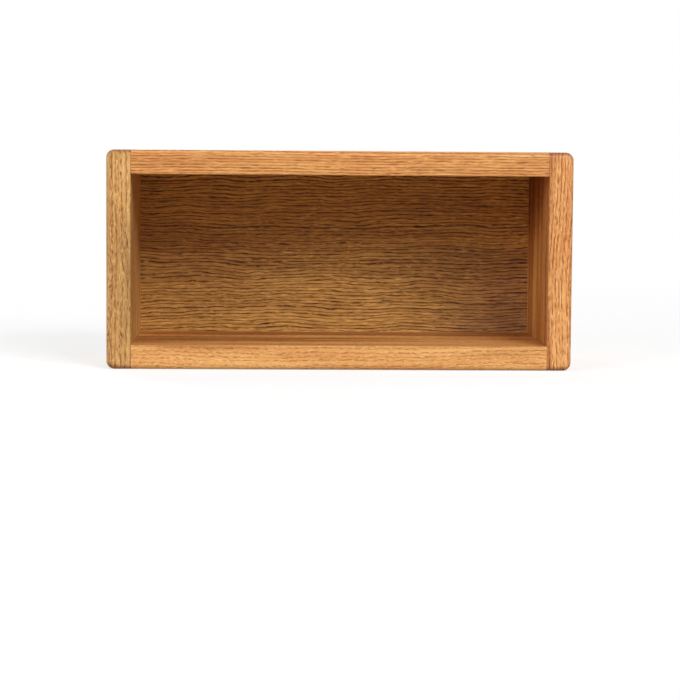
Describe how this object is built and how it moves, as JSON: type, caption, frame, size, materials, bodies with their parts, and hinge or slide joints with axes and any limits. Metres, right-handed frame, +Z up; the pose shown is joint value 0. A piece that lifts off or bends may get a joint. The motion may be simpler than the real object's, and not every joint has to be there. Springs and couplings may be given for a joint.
{
  "type": "cd storage cabinet",
  "caption": "Open-front oak cabinet that holds disc cases upright: full-height rounded sides, top and bottom boards butted between them, and a thin nailed back panel.",
  "frame": {"origin": "centre of the footprint, on the plane that the cabinet stands on", "axes": "+X to the right as seen from the open front, -Y out of the open front, +Z up"},
  "size_m": [0.365, 0.1524, 0.1715],
  "materials": {
    "side_oak": "clear satin lacquer",
    "long_board_oak": "clear satin lacquer",
    "panel_oak": "clear satin lacquer",
    "dowel_beech": "bare, dry",
    "brad_steel": "bright drawn wire"
  },
  "bodies": {
    "root": {"left_side": "side_oak", "right_side": "side_oak", "top_board": "long_board_oak", "bottom_board": "long_board_oak", "back_panel": "panel_oak", "dowel_top_left_front": "dowel_beech", "dowel_top_left_middle": "dowel_beech", "dowel_top_left_rear": "dowel_beech", "dowel_top_right_front": "dowel_beech", "dowel_top_right_middle": "dowel_beech", "dowel_top_right_rear": "dowel_beech", "dowel_bottom_left_front": "dowel_beech", "dowel_bottom_left_middle": "dowel_beech", "dowel_bottom_left_rear": "dowel_beech", "dowel_bottom_right_front": "dowel_beech", "dowel_bottom_right_middle": "dowel_beech", "dowel_bottom_right_rear": "dowel_beech", "brads_top": "brad_steel", "brads_bottom": "brad_steel", "brads_left": "brad_steel", "brads_right": "brad_steel"}
  },
  "joints": []
}
